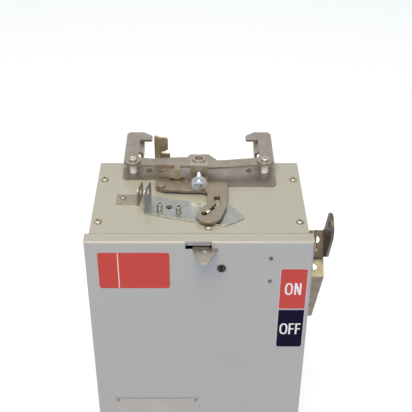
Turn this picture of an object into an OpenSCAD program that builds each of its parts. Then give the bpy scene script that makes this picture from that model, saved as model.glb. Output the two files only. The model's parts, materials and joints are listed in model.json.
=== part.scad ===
// Busway tap off box: a fused switch in a sheet metal enclosure that clamps onto a busbar trunking.
// Millimetres. X runs across the front, Y from the cover to the busway, Z up.
// Origin: centre of the enclosure's bottom face.

/* [Enclosure] */
// Outer width of the enclosure
body_w = 208; // [200:1:240]
// Depth of the enclosure behind the cover
body_d = 135; // [130:1:160]
// Height of the enclosure
body_h = 380; // [372:1:440]
// Steel sheet thickness
sheet_t = 1.5; // [1.2:0.1:2]
// Width of the flanges folded inward along the open edges
return_w = 14; // [12:0.5:16]

/* [Cover] */
// Room between a cover lip and the enclosure side
lip_gap = 2.5; // [1.5:0.1:4]
// Depth of the cover pan
lip_depth = 13.5; // [12:0.5:16]
// Room between the cover sheet and the enclosure front
front_gap = 1.5; // [1.4:0.1:2]
// Room between the top lip and the flanges under it
top_gap = 0.4; // [0.4:0.1:1]
// Outer radius of the cover's folded edges
fold_r = 2.6; // [2:0.1:3.5]
// Height of the cover's lower edge above the bottom face
cover_foot = 9; // [9:0.5:12]
// Radius of a hinge knuckle
knuckle_r = 3; // [2.8:0.1:3.3]

/* [Cover fittings] */
// Centre of the catch notch from the middle of the cover
notch_x = -0.4; // [-10:0.1:4]
// Width of the catch notch
notch_w = 25; // [24:0.5:28]
// Height of the catch notch
notch_h = 8.6; // [8:0.1:9]
// Width of the catch tab
catch_w = 23.8; // [20:0.1:26]
// Reach of the catch tab in front of the cover
catch_reach = 22.8; // [18:0.1:30]
// Travel of the catch
catch_travel = 6; // [3:0.5:6]
// Place of the cover screw from the middle
lock_x = 21.4; // [18:0.1:30]
// Depth of the cover screw below the enclosure top
lock_drop = 30.8; // [26:0.1:34]
// Radius of the cover screw head
lock_head_r = 4.2; // [3.8:0.1:5]

/* [Clamp] */
// Distance between the two jaw pivots
pivot_span = 136; // [132:0.5:140]
// Place of the jaw pivots behind the enclosure centre
pivot_y = 48; // [45:0.5:49]
// Place of the centre pivot behind the enclosure centre
draw_y = 42.5; // [42:0.5:43]
// Height of the nylon spacers
spacer_h = 11; // [10:0.5:12]
// Thickness of the jaw plates
jaw_t = 2.5; // [2:0.1:3]
// Width across the outside of the jaws
jaw_w = 155; // [152:0.5:158]
// Clear width between the two throats
throat_w = 126; // [122:0.5:128]
// Depth of the throat from the front of the bearing flange to the tip
throat_d = 32.5; // [28:0.5:34]
// Thickness of a jaw tip along the depth
tip_d = 16; // [14:0.5:20]
// Reach of a jaw tip toward the middle
tip_reach = 13; // [10:0.5:16]
// Height of the bearing flange folded down from a jaw
bearing_h = 14; // [12:0.5:20]
// Travel of the draw bracket
draw_travel = 5.5; // [4:0.5:5.5]

/* [Clamp screw] */
// Radius of the clamp screw shank
screw_r = 2.5; // [2.5:0.1:3]
// Radius of the clamp screw washer
screw_washer_r = 7.6; // [7:0.1:7.6]
// Place of the washer in front of the enclosure centre, negative is forward
screw_head_y = 7; // [5:0.5:8]
// Height of the screw head above the enclosure top
screw_head_z = 14; // [14:0.5:16]
// Downward slope of the clamp screw
screw_tilt = 12.6; // [12:0.1:13]

/* [Interlock] */
// Thickness of the interlock lever
lever_t = 3; // [2:0.5:3]
// Height of the lever above the enclosure top
lever_z = 3; // [2:0.1:3]
// Place of the lever pivot across
lever_x = -38; // [-40:0.5:-36]
// Place of the lever pivot in depth
lever_y = 15.5; // [14:0.5:16]
// Radius of the guide slot about the lever pivot
slot_r = 64.6; // [62:0.1:66]
// Swing of the lever
lever_swing = 13; // [10:0.5:13]
// Turn of the interlock plate on the enclosure top
plate_turn = -14.5; // [-16:0.5:-12]

/* [Handle] */
// Height of the switch shaft above the bottom face
shaft_z = 297; // [290:1:300]
// Radius of the switch shaft
shaft_r = 6; // [5:0.1:6.5]
// Place of the handle's side plate outside the enclosure side
handle_off = 5.5; // [5.2:0.1:8]
// Width of the handle's flanges across
handle_w = 13.5; // [12:0.5:16]
// Sheet thickness of the handle
handle_t = 2.5; // [2:0.1:3]
// Radius of the padlock holes in the handle
padlock_r = 3.5; // [3:0.1:4]

/* [Switch and fuses] */
// Distance between neighbouring poles
pole_pitch = 32; // [30:0.5:34]
// Reach of a switch blade from the shaft centre
blade_reach = 34; // [32:0.5:35]
// Thickness of a switch blade
blade_t = 3; // [2.5:0.1:4]
// Width of a switch blade
blade_w = 12; // [10:0.5:14]
// Radius of a fuse
fuse_r = 10.3; // [9:0.1:10.5]
// Length of a fuse
fuse_l = 127; // [120:1:130]
// Height of the fuse bottoms above the bottom face
fuse_z = 95; // [90:1:98]
// Gap between the two leaves of a busbar stab
stab_gap = 6.4; // [5:0.1:7]
// Reach of a stab behind its insulator
stab_reach = 28; // [22:0.5:32]
// Radius of the conduit hole in the bottom
conduit_r = 17.5; // [14:0.5:20]

/* [Hidden] */
$fn = 48;

// Clearances
hole_clear = 0.1;      // fixed screws, pins and rivets in their holes
run_clear = 0.1;       // turning pins in their bores
plate_clear = 0.1;     // between stacked plates that move on each other
slide_clear = 0.2;     // catch on its guide
move_clear = 0.3;      // other moving faces

// Enclosure
hw = body_w / 2;
hd = body_d / 2;
top = body_h;
wall_top = top - sheet_t;
rail_d = 27;
rail_h = 16;
sill_h = 14;
top_screw_x = hw - 7;
top_screw_ys = [-38.5, 35];
rail_screw = [9, -47.9];
conduit_y = -20;
window_m = 10;

// Cover
cover_in_y = -hd - front_gap;
cover_y = cover_in_y - sheet_t;
lip_y = cover_y + lip_depth;
cover_hw = hw + lip_gap + sheet_t;
cover_top = wall_top + top_gap + sheet_t;
// Gap between the cover's top lip and the top plate
seam = 1;
hinge_y = -hd - knuckle_r - move_clear;
hinge_z = cover_foot - knuckle_r - 1;
hinge_pin_r = 1.5;
hinge_xs = [34 - hw, hw - 34];
hinge_half = 15;
hinge_mid = 5;
leaf_t = front_gap - move_clear;
lock_z = top - lock_drop;
lock_shank_r = 2.5;
catch_z = top - notch_h + slide_clear;
catch_t = 1.5;
catch_x = notch_x + notch_w / 2 - catch_w + 5.6;
neck_w = 15.9;
catch_in = 19;
tip_r = 5;
rivet_x = hw - 36;
rivet_drops = [18.9, 46.6];
plate_w = 90;
plate_x = 18 - cover_hw;
plate_h = 60;
plate_t = 0.8;
plate_drop = 210;
label_t = 0.25;
label_r = 2.5;
hazard_w = 67.8;
hazard_h = 43.2;
hazard_drop = 55.4;
on_drop = 81.9;
on_h = 50;
off_drop = 133.6;
off_h = 49.9;
switch_label_w = 25.3;
switch_label_x = cover_hw - 4.3 - switch_label_w;

// Clamp, heights above the enclosure top
base_t = 1.5;
spacer_r = 4;
pivot_x = pivot_span / 2;
pivot_r = 3;
jaw_z = base_t + spacer_h + plate_clear;
lobe_z = jaw_z + jaw_t;
draw_z = lobe_z + jaw_t + plate_clear;
draw_t = 2;
draw_pin_r = 4;
draw_slot = 1.3;
draw_off = 11;
draw_hw = 9;
throat_y = 57.5;
tip_y = throat_y + throat_d;
hook_y = tip_y + tip_d;
bearing_toe = 4.2;
bearing_step = 2.5;
washer_t = 1.4;
washer_r = 8.5;
lobe_r = 8.3;
tab_x = -22;
tab_w = 6;
tab_y = 27;
tab_t = 2;
tab_z = 2.6;
fork_y = 22.3;
fork_t = 2.5;
fork_hw = 6.5;
lip_t = 2;
nut_s = 31;
nut_flats = 8;
nut_l = 3.5;
screw_l = nut_s + nut_l + 2;
screw_washer_t = 1.6;
draw_rise = draw_travel * sin(screw_tilt);

// Interlock
lever_head_t = 1.5;
lever_pin_r = 2.5;
guide_r = 1.6;
slot_hw = 1.9;
guide_a = -43.9;
slot_spare = 4.2;
key_w = 6;
key_l = 12;
key_shift = [-2.4, 4.1];
plate_x0 = -50;
plate_y0 = -27;
plate_end = -3.8;
tab_hole_r = 3.6;
tab_corner = 6;
seal_x = 47 - hw;
seal_turn = -12;

// Handle
lever_x0 = hw + handle_off;
lever_x1 = lever_x0 + handle_t;
grip_x1 = lever_x0 + handle_w;
apex = [-57.1, 30.7];
slope_end = [-38, 48.5];
toe = [-10, -64.2];
grip_low = [-50.6, 50.1];
grip_high = [-33.5, 69.8];
eye = [-65, 96.5];
eye_r = 13.6;
eye_hole_r = 6;
rivet_yz = [[-25, 54], [-16, 45]];
rivet_r = 2.5;
bushing_r = 9;
hub_r = 12;

// Switch
base_y = 39;
base_d = 12;
base_hw = hw - 20;
base_z = [shaft_z - 35, shaft_z + 37];
leaf_gap = 0.15;
leaf_w = 1.8;
web_t = 3;
web_in = 14;
web_out = 44;
strap_hw = 6;
strap_t = 6;
strap_z = shaft_z + web_out - strap_t;
ins_d = 12;
ins_hw = pole_pitch + 20;
stab_y = hd + ins_d + 2.5;
stab_leaf = 1.8;
bracket_x = 4 - base_hw;

// Fuses
fuse_y = 26;
fuse_top = fuse_z + fuse_l;
clip_w = 14;
clip_t = 1.95;
clip_clear = 0.05;
fuse_base_y = 45;
fuse_base_t = 6;
lug_z = fuse_z - 33;
lug_h = 26;
wire_r = 5.2;
bar_x = 14 - hw;
bar_z = [60, 130];

function pole_x(i) = (i - 1) * pole_pitch;
function unit(v) = v / norm(v);
function left_of(v) = [-v[1], v[0]];

// Points of an arc about c from angle a0 to a1
function arc(c, r, a0, a1) = [for (i = [0 : 16]) let (a = a0 + (a1 - a0) * i / 16) c + r * [cos(a), sin(a)]];

// Where the line from p touches the circle of radius r about c, on its left (1) or right (-1)
function tangent(p, c, r, side) =
    let (d = norm(c - p), u = (c - p) / d, a = side * asin(r / d), reach = sqrt(d * d - r * r))
    p + reach * [u[0] * cos(a) + u[1] * sin(a), u[1] * cos(a) - u[0] * sin(a)];

module box(x0, x1, y0, y1, z0, z1) {
    translate([x0, y0, z0]) cube([x1 - x0, y1 - y0, z1 - z0]);
}

module rod_x(x0, x1, y, z, r) {
    translate([x0, y, z]) rotate([0, 90, 0]) cylinder(r = r, h = x1 - x0);
}

module rod_y(x, z, y0, y1, r) {
    translate([x, y1, z]) rotate([90, 0, 0]) cylinder(r = r, h = y1 - y0);
}

module rod_z(x, y, z0, z1, r) {
    translate([x, y, z0]) cylinder(r = r, h = z1 - z0);
}

// A flat outline in Y and Z, thick along X
module sheet_x(x0, x1) {
    translate([x0, 0, 0]) rotate([90, 0, 90]) linear_extrude(x1 - x0) children();
}

// A flat outline in X and Z, thick along Y
module sheet_y(y0, y1) {
    translate([0, y1, 0]) rotate([90, 0, 0]) linear_extrude(y1 - y0) children();
}

// A strip between two points of the Y-Z plane, thick to the left of its run
module strip_x(x0, x1, p, q, t) {
    n = left_of(unit(q - p)) * t;
    sheet_x(x0, x1) polygon([p, q, q + n, p + n]);
}

// Pan head screw, head up, its seat at z = 0
module pan_screw(head_r, head_h, shank_r, shank_l) {
    slot_w = head_r * 0.3;
    difference() {
        union() {
            cylinder(r = head_r, h = head_h * 0.55);
            translate([0, 0, head_h * 0.55]) cylinder(r1 = head_r, r2 = head_r * 0.6, h = head_h * 0.45);
        }
        for (a = [0, 90]) rotate(a) translate([-head_r * 0.55, -slot_w / 2, head_h * 0.45])
            cube([head_r * 1.1, slot_w, head_h]);
    }
    translate([0, 0, -shank_l]) cylinder(r = shank_r, h = shank_l);
}

// ---- Enclosure ----

module top_screw_holes() top_screw_places() rod_z(0, 0, top - 10, top + 1, 2 + hole_clear);

module top_screw_places() {
    for (sx = [-1, 1], y = top_screw_ys) translate([sx * top_screw_x, y, 0]) children();
    translate([rail_screw[0], rail_screw[1], 0]) children();
}

module box_paint() color([0.75, 0.75, 0.68]) children();

module enclosure_back() box_paint() difference() {
    box(-hw, hw, hd - sheet_t, hd, 0, wall_top);
    for (i = [0 : 2]) box(pole_x(i) - window_m, pole_x(i) + window_m, hd - sheet_t - 1, hd + 1,
        strap_z - 5, strap_z + strap_t + 5);
}

// Side wall with its folded returns at the front and the top, drawn for the right side
module side_wall() {
    back = hd - sheet_t;
    box(hw - sheet_t, hw, -hd, back, 0, wall_top);
    box(hw - return_w, hw, -hd, -hd + sheet_t, 0, wall_top);
    box(hw - return_w, hw, -hd, back, wall_top - sheet_t, wall_top);
}

module left_wall() box_paint() difference() {
    mirror([1, 0, 0]) side_wall();
    top_screw_holes();
}

module right_wall() box_paint() difference() {
    side_wall();
    top_screw_holes();
    rod_x(hw - sheet_t - 1, hw + 1, 0, shaft_z, bushing_r + hole_clear);
}

module enclosure_bottom() box_paint() difference() {
    union() {
        box(-hw + sheet_t, hw - sheet_t, -hd + sheet_t, hd - sheet_t, 0, sheet_t);
        box(-hw + return_w, hw - return_w, -hd, -hd + sheet_t, 0, sill_h);
    }
    rod_z(0, conduit_y, -1, sheet_t + 1, conduit_r);
}

// Folded rail across the top of the opening, with the catch's window and the cover screw's tongue
module front_rail() box_paint() difference() {
    union() {
        box(-hw + return_w, hw - return_w, -hd, -hd + sheet_t, wall_top - rail_h, wall_top);
        box(-hw + return_w, hw - return_w, -hd, -hd + rail_d, wall_top - sheet_t, wall_top);
        box(lock_x - 11, lock_x + 11, -hd, -hd + sheet_t, lock_z - 9, wall_top);
    }
    top_screw_holes();
    rod_y(lock_x, lock_z, -hd - 1, -hd + sheet_t + 1, lock_shank_r + 0.8);
    box(-22, 24, -hd - 1, -hd + sheet_t + 1, wall_top - rail_h + 3.5, wall_top - 4.3);
}

module top_plate() color([0.76, 0.75, 0.68]) difference() {
    box(-hw, hw, lip_y + seam, hd, wall_top, top);
    top_screw_holes();
    on_interlock_plate() lock_hole();
    for (s = [-1, 1]) rod_z(s * pivot_x, pivot_y, top - 5, top + 1, pivot_r + hole_clear);
    translate([0, 0, top]) mechanism_screw_places() rod_z(0, 0, -9, 9, 1.5 + hole_clear);
}

module top_screws() color([0.72, 0.71, 0.66])
    translate([0, 0, top]) top_screw_places() pan_screw(3.9, 2.6, 2, 7);

// ---- Clamp on the enclosure top ----

module mechanism_screw_places() {
    for (p = [[-52, 51], [-40, 51], [52, 51]]) translate([p[0], p[1], base_t]) children();
    translate([seal_x - 18.4, 0.8, sheet_t]) children();
}

module clamp_base_plate() color([0.50, 0.46, 0.44]) translate([0, 0, top]) difference() {
    plate_hw = pivot_x + 11;
    linear_extrude(base_t) polygon([
        [-plate_hw, 38], [4 - plate_hw, 34], [-12, 34], [-12, fork_y - 0.3], [plate_hw - 3, fork_y - 0.3],
        [plate_hw, 26], [plate_hw, 55], [plate_hw - 4, 59], [4 - plate_hw, 59], [-plate_hw, 55]]);
    for (s = [-1, 1]) rod_z(s * pivot_x, pivot_y, -1, base_t + 1, pivot_r + hole_clear);
    mechanism_screw_places() rod_z(0, 0, -9, 9, 1.5 + hole_clear);
}

module mechanism_screws() color([0.30, 0.28, 0.28]) translate([0, 0, top])
    mechanism_screw_places() pan_screw(2.9, 1.6, 1.5, 6);

module jaw_spacers() color([0.88, 0.87, 0.86]) translate([0, 0, top + base_t])
    for (s = [-1, 1]) translate([s * pivot_x, pivot_y, 0]) difference() {
        cylinder(r = spacer_r, h = spacer_h);
        translate([0, 0, -1]) cylinder(r = pivot_r + hole_clear, h = spacer_h + 2);
    }

module jaw_washers() color([0.66, 0.64, 0.60]) translate([0, 0, top + lobe_z + plate_clear])
    for (s = [-1, 1]) translate([s * pivot_x, pivot_y, 0]) difference() {
        cylinder(r = washer_r, h = washer_t);
        translate([0, 0, -1]) cylinder(r = pivot_r + hole_clear, h = washer_t + 2);
    }

module jaw_pivot_screws() color([0.72, 0.70, 0.66]) translate([0, 0, top]) {
    seat = lobe_z + plate_clear + washer_t;
    for (s = [-1, 1]) translate([s * pivot_x, pivot_y, 0]) {
        translate([0, 0, seat]) pan_screw(4.2, 2.8, pivot_r, seat + 10);
        translate([0, 0, -sheet_t - 4]) difference() {
            cylinder(r = 5.6, h = 4, $fn = 6);
            translate([0, 0, -1]) cylinder(r = pivot_r + hole_clear, h = 6);
        }
    }
}

// Outline of the right jaw, closed near the middle by its end points from front to rear
module jaw_outline(end) {
    outer = jaw_w / 2;
    inner = throat_w / 2;
    tip = inner - tip_reach;
    polygon(concat(end, [
        [26, pivot_y - 11.5], [60, pivot_y - 7], [outer - 3.5, pivot_y - 7],
        [outer, pivot_y - 3], [outer, hook_y - 4], [outer - 3, hook_y], [inner - 3.5, hook_y],
        [tip + 1, hook_y - 7], [tip, hook_y - 9], [tip, tip_y + 2], [tip + 1, tip_y],
        [inner, tip_y], [inner, throat_y], [inner - 1.5, throat_y - 2.5], [inner - 6, throat_y - 4],
        [24, throat_y - 8.5]]));
}

module draw_slot_cut(z0, z1) {
    for (s = [-1, 1]) rod_z(s * draw_slot, draw_y, z0, z1, draw_pin_r + move_clear);
    box(-draw_slot, draw_slot, draw_y - draw_pin_r - move_clear, draw_y + draw_pin_r + move_clear, z0, z1);
}

// Plate and folded flange that both jaws share, drawn for the right side
module jaw_arm(end) difference() {
    union() {
        translate([0, 0, jaw_z]) linear_extrude(jaw_t) jaw_outline(end);
        sheet_y(hd + 2.5, hook_y - 5) polygon([
            [throat_w / 2 + 0.2, jaw_z + 1], [throat_w / 2 + 0.2, jaw_z - 0.5],
            [throat_w / 2 - bearing_toe, jaw_z - bearing_step],
            [throat_w / 2 - bearing_toe, jaw_z - bearing_h],
            [throat_w / 2 - bearing_toe + jaw_t, jaw_z - bearing_h],
            [throat_w / 2 - bearing_toe + jaw_t, jaw_z - bearing_step - 1.6],
            [throat_w / 2 + jaw_t + 0.2, jaw_z - 2.2], [throat_w / 2 + jaw_t + 0.2, jaw_z + 1]]);
    }
    rod_z(pivot_x, pivot_y, jaw_z - 1, jaw_z + jaw_t + 1, pivot_r + run_clear);
}

module right_jaw() color([0.63, 0.60, 0.56]) translate([0, 0, top]) difference() {
    jaw_arm([[19, throat_y - 8.5], [10, 60.5], [-9, 60.5], [-17, 48], [-12, draw_y - 3], [-4, draw_y - 8]]);
    draw_slot_cut(jaw_z - 1, jaw_z + jaw_t + 1);
}

module left_jaw() color([0.63, 0.60, 0.56]) translate([0, 0, top]) difference() {
    union() {
        mirror([1, 0, 0]) jaw_arm([[23, throat_y - 8.5], [23, pivot_y - 11.5]]);
        translate([0, 0, lobe_z]) linear_extrude(jaw_t) {
            polygon([
                [-44, 37.5], [-44, 49], [-19, 51], [0, draw_y + lobe_r], [0, draw_y - lobe_r], [-19, 34.5]]);
            translate([0, draw_y]) circle(lobe_r);
        }
        box(tab_x - tab_w / 2, tab_x + tab_w / 2, tab_y - tab_t / 2, 38, lobe_z, lobe_z + jaw_t);
        box(tab_x - tab_w / 2, tab_x + tab_w / 2,
            tab_y - tab_t / 2, tab_y + tab_t / 2, tab_z, lobe_z + jaw_t);
    }
    draw_slot_cut(lobe_z - 1, lobe_z + jaw_t + 1);
    box(-18.5, lobe_r + 1, draw_y - lobe_r - 1, draw_y + 20, lobe_z - 1, lobe_z + plate_clear);
}

module clamp_axis()
    translate([0, screw_head_y, top + screw_head_z]) rotate([-90 - screw_tilt, 0, 0]) children();

// Height of the screw's axis above the enclosure top at a given Y
function axis_z(y) = screw_head_z - (y - screw_head_y) * tan(screw_tilt);

module draw_bracket() color([0.58, 0.55, 0.52]) {
    front = draw_y - draw_off;
    arch_r = screw_r + 1.1;
    housing_z = jaw_z - draw_rise - move_clear;
    nut_y = screw_head_y + (nut_s + nut_l / 2) * cos(screw_tilt);
    translate([0, 0, top]) difference() {
        union() {
            translate([0, 0, draw_z]) linear_extrude(draw_t) {
                polygon([
                    [-draw_hw, front], [draw_hw, front], [draw_hw, front + 3], [7.4, draw_y],
                    [-7.4, draw_y], [-draw_hw, front + 3]]);
                translate([0, draw_y]) circle(8);
            }
            box(-draw_hw, draw_hw, front, front + draw_t, base_t + move_clear, draw_z + draw_t);
            rod_z(0, draw_y, jaw_z - plate_clear, draw_z + 0.1, draw_pin_r);
            rod_z(0, draw_y, draw_z, draw_z + draw_t + 0.8, 7);
            rod_z(0, draw_y, draw_z, draw_z + draw_t + 2, 6.2);
        }
        rod_y(0, axis_z(front), front - 1, front + draw_t + 1, arch_r);
        box(-arch_r, arch_r, front - 1, front + draw_t + 1, 0, axis_z(front));
        rod_z(0, draw_y, draw_z + draw_t + 0.2, draw_z + draw_t + 3, 4.7);
    }
    difference() {
        union() {
            clamp_axis() translate([0, 0, nut_s]) cylinder(r = nut_flats / sqrt(3), h = nut_l, $fn = 6);
            translate([0, 0, top]) {
                for (s = [-1, 1]) box(s * (draw_hw - 1) - 1, s * (draw_hw - 1) + 1,
                    front + draw_t, nut_y + 1, base_t + 1, housing_z);
                box(-draw_hw, draw_hw, nut_y - 1, nut_y + 1, base_t + 1, housing_z);
            }
        }
        clamp_axis() translate([0, 0, nut_s - 6]) cylinder(r = screw_r + run_clear, h = nut_l + 12);
    }
}

module clamp_washer() color([0.72, 0.74, 0.76]) clamp_axis() difference() {
    cylinder(r = screw_washer_r, h = screw_washer_t);
    translate([0, 0, -1]) cylinder(r = screw_r + run_clear, h = screw_washer_t + 2);
}

module clamp_screw() color([0.78, 0.79, 0.80]) clamp_axis() rotate([180, 0, 0])
    pan_screw(4.8, 3.2, screw_r, screw_l);

// Fixed bracket that takes the screw's pull: a lip behind the washer, two arms over the lever and a foot
module screw_fork() color([0.52, 0.49, 0.46]) {
    slot_w = screw_r + 0.5;
    arm_z = lever_z + lever_t + 0.4;
    difference() {
        union() {
            clamp_axis() translate([-fork_hw, -4.5, screw_washer_t]) cube([2 * fork_hw, 11.5, lip_t]);
            translate([0, 0, top]) {
                box(-fork_hw, fork_hw, screw_head_y + 1.5, fork_y + fork_t, arm_z, arm_z + 1.5);
                box(-fork_hw, fork_hw, fork_y, fork_y + fork_t, base_t, arm_z + 1.5);
            }
        }
        clamp_axis() {
            cylinder(r = slot_w, h = 8);
            translate([-slot_w, -9, 0]) cube([2 * slot_w, 9, 8]);
        }
        translate([0, 0, top])
            box(-slot_w, slot_w, screw_head_y + 6, fork_y + fork_t + 1, arm_z - 0.1, arm_z + 9);
    }
}

// ---- Interlock ----

module interlock_lever() color([0.62, 0.57, 0.49]) translate([0, 0, top + lever_z]) {
    difference() {
        linear_extrude(lever_t) polygon(concat(
            [[-44, 15], [-42, 12], [-35, 8.8], [-14, 7], [3, 6.5], [7, 4.5], [8.3, 1], [8, -15]],
            arc([9.5, -34.5], 12.5, 145, 344),
            [[27, -19], [28.6, 0], [29, 19], [26, 21.8], [-14.5, 21.8], [-14.5, 31.2], [-41, 31.2],
            [-44, 28.2]]));
        rod_z(lever_x, lever_y, -1, lever_t + 1, lever_pin_r + run_clear);
        box(tab_x - 8.3, tab_x + tab_w / 2 + 1.2, tab_y - 2.2, tab_y + 2.2, -1, lever_t + 1);
        guide_slot();
    }
}

// Arc about the lever's pivot, from a round end past the pin to the square key hole
module guide_slot() translate([lever_x, lever_y, -1]) linear_extrude(lever_t + 2) {
    start_a = guide_a - slot_spare;
    end_a = guide_a + lever_swing + 5;
    polygon(concat(
        arc([0, 0], slot_r + slot_hw, start_a, end_a),
        arc([0, 0], slot_r - slot_hw, end_a, start_a)));
    translate(slot_r * [cos(start_a), sin(start_a)]) circle(slot_hw + 1.2);
    translate(slot_r * [cos(end_a), sin(end_a)] + key_shift) square([key_w, key_l], center = true);
}

module interlock_pivot_pin() color([0.60, 0.56, 0.50]) translate([lever_x, lever_y, top]) {
    cylinder(r = 4, h = lever_z - plate_clear);
    cylinder(r = lever_pin_r, h = lever_z + lever_t + 1);
    translate([0, 0, lever_z + lever_t + plate_clear]) cylinder(r = 4.4, h = lever_head_t);
}

module interlock_guide_pin() color([0.80, 0.79, 0.76])
    translate([lever_x + slot_r * cos(guide_a), lever_y + slot_r * sin(guide_a), top]) {
        translate([0, 0, sheet_t]) cylinder(r = 3.2, h = lever_z - plate_clear - sheet_t);
        translate([0, 0, sheet_t]) cylinder(r = guide_r, h = lever_z + lever_t);
        translate([0, 0, lever_z + lever_t + plate_clear]) pan_screw(2.9, 1.8, guide_r, 1);
    }

module on_interlock_plate() translate([plate_x0, plate_y0, top]) rotate(plate_turn) children();

// Upright tab of bent sheet with its top corners rounded, drawn in Y and Z
module upright_tab(y0, y1, height) polygon(concat(
    [[y1, 0], [y0, 0]],
    arc([y0 + tab_corner, height - tab_corner], tab_corner, 180, 90),
    arc([y1 - tab_corner, height - tab_corner], tab_corner, 90, 0)));

module interlock_plate() color([0.66, 0.66, 0.65]) on_interlock_plate() difference() {
    union() {
        linear_extrude(sheet_t) polygon([
            [plate_end, 0], [78, 0], [92, 16], [92, 20], [73, 36], [62, 31], [plate_end, 30]]);
        sheet_x(plate_end, plate_end + sheet_t) upright_tab(0, 22, 27);
    }
    rod_x(plate_end - 1, plate_end + sheet_t + 1, 12, 19.5, tab_hole_r);
    lock_hole();
}

// Hole of a lock pin, through the interlock plate and the enclosure top
module lock_hole() rod_z(17.2, 16.4, -9, sheet_t + 1, 3.2);

module interlock_posts() color([0.85, 0.85, 0.83]) on_interlock_plate()
    for (x = [9.6, 28.6]) difference() {
        rod_z(x, 10, sheet_t, 9, 2.7);
        rod_z(x, 10, 4, 10, 1.5);
    }

module seal_bracket() color([0.66, 0.66, 0.63]) translate([0, 0, top]) difference() {
    union() {
        linear_extrude(sheet_t) polygon([
            [seal_x - 25, -9], [seal_x - 2.6, -9], [seal_x + 0.6, 6], [seal_x - 25, 6]]);
        translate([seal_x, 0, 0]) rotate(seal_turn) sheet_x(-sheet_t, 0) upright_tab(-12.5, 7, 18.6);
    }
    translate([seal_x, 0, 0]) rotate(seal_turn) rod_x(-3, 2, -2.5, 11.5, tab_hole_r);
    mechanism_screw_places() rod_z(0, 0, -9, 9, 1.5 + hole_clear);
}

// Strip with its left third bent back and a slanting notch cut in from the right
module ground_stab() color([0.55, 0.46, 0.37]) translate([0, 0, top]) difference() {
    union() {
        sheet_y(hd, hd + 2) polygon([
            [-41.2, -16], [-30.4, -16], [-30.4, 11.4], [-39.4, 11.8], [-39.4, 13.6], [-36, 14.2],
            [-32.5, 16.6], [-32.5, 28.8], [-34.5, 30.8], [-41.2, 30.8]]);
        intersection() {
            translate([0, 0, -16]) linear_extrude(50) polygon([
                [-41.2, hd], [-47, hd + 4.5], [-45.8, hd + 6.1], [-40, hd + 1.6]]);
            sheet_y(hd - 1, hd + 8) polygon([[-48, -17], [-39, -17], [-39, 30.8], [-45, 30.8], [-48, 28.8]]);
        }
    }
    for (z = [-12, -6]) rod_y(-36, z, hd - 1, hd + 3, 2.2);
}

// ---- Switch ----

module shaft_bushing() color([0.72, 0.60, 0.35]) difference() {
    union() {
        rod_x(hw - sheet_t - 3, hw - sheet_t, 0, shaft_z, bushing_r + 4);
        rod_x(hw - sheet_t - 1, hw + 1, 0, shaft_z, bushing_r);
    }
    rod_x(hw - 10, hw + 5, 0, shaft_z, shaft_r + run_clear);
}

module shaft_bracket() color([0.62, 0.62, 0.60]) difference() {
    union() {
        box(bracket_x, bracket_x + 3, -15, base_y, shaft_z - 15, shaft_z + 15);
        box(bracket_x, bracket_x + 18, base_y - 3, base_y, shaft_z - 15, shaft_z + 15);
    }
    rod_x(bracket_x - 1, bracket_x + 4, 0, shaft_z, shaft_r + run_clear);
}

module switch_base() color([0.24, 0.22, 0.20]) {
    box(-base_hw, base_hw, base_y, base_y + base_d, base_z[0], base_z[1]);
    for (sx = [-1, 1], z = [base_z[0] + 12, base_z[1] - 12])
        rod_y(sx * (base_hw - 14), z, base_y + base_d - 1, hd - sheet_t, 7);
}

// Contact fork of one pole, drawn above the shaft
module contact_fork(i) translate([pole_x(i), 0, shaft_z]) {
    for (s = [0, 1]) mirror([s, 0, 0])
        box(blade_t / 2 + leaf_gap, blade_t / 2 + leaf_gap + leaf_w,
            -7, base_y - web_t + 0.5, 20, blade_reach);
    box(-9, 9, base_y - web_t, base_y, web_in, web_out);
}

module contact_jaws() color([0.75, 0.48, 0.33]) for (i = [0 : 2]) {
    contact_fork(i);
    translate([0, 0, 2 * shaft_z]) mirror([0, 0, 1]) contact_fork(i);
}

module line_straps() color([0.78, 0.50, 0.34]) for (i = [0 : 2])
    box(pole_x(i) - strap_hw, pole_x(i) + strap_hw, base_y, stab_y, strap_z, strap_z + strap_t);

module load_straps() color([0.78, 0.50, 0.34]) for (i = [0 : 2])
    box(pole_x(i) - strap_hw, pole_x(i) + strap_hw, base_y - web_t, base_y, fuse_top + 2, shaft_z - web_out);

module stab_insulator() color([0.20, 0.18, 0.17]) difference() {
    union() {
        box(-ins_hw, ins_hw, hd, hd + ins_d, strap_z - 17, strap_z + 23);
        for (i = [0 : 2]) box(pole_x(i) - window_m + 0.3, pole_x(i) + window_m - 0.3, hd - 7, hd + 1,
            strap_z - 4.7, strap_z + strap_t + 4.7);
    }
    for (i = [0 : 2]) box(pole_x(i) - strap_hw - 0.2, pole_x(i) + strap_hw + 0.2, hd - 8, hd + ins_d + 1,
        strap_z - 0.2, strap_z + strap_t + 0.2);
}

module phase_stabs() color([0.80, 0.62, 0.45]) for (i = [0 : 2]) translate([pole_x(i), 0, strap_z - 5]) {
    outer = stab_gap / 2 + stab_leaf;
    box(-outer, outer, stab_y, stab_y + 2.5, 0, 16);
    for (s = [0, 1]) mirror([s, 0, 0]) box(stab_gap / 2, outer, stab_y, hd + ins_d + stab_reach, 0, 16);
}

module phase_barriers() color([0.80, 0.78, 0.70]) difference() {
    for (s = [-1, 1]) translate([s * pole_pitch / 2, 0, 0])
        box(-0.75, 0.75, -34, base_y, base_z[0], base_z[1] + 10);
    rod_x(-pole_pitch, pole_pitch, 0, shaft_z, shaft_r + 0.6);
}

module line_shield() color([0.80, 0.86, 0.88, 0.45]) {
    side = 56;
    difference() {
        box(-side - 1.5, side + 1.5, -42, base_y, shaft_z + 10, shaft_z + 56);
        box(-side, side, -40.5, base_y + 1, shaft_z + 9, shaft_z + 57);
    }
}

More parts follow.
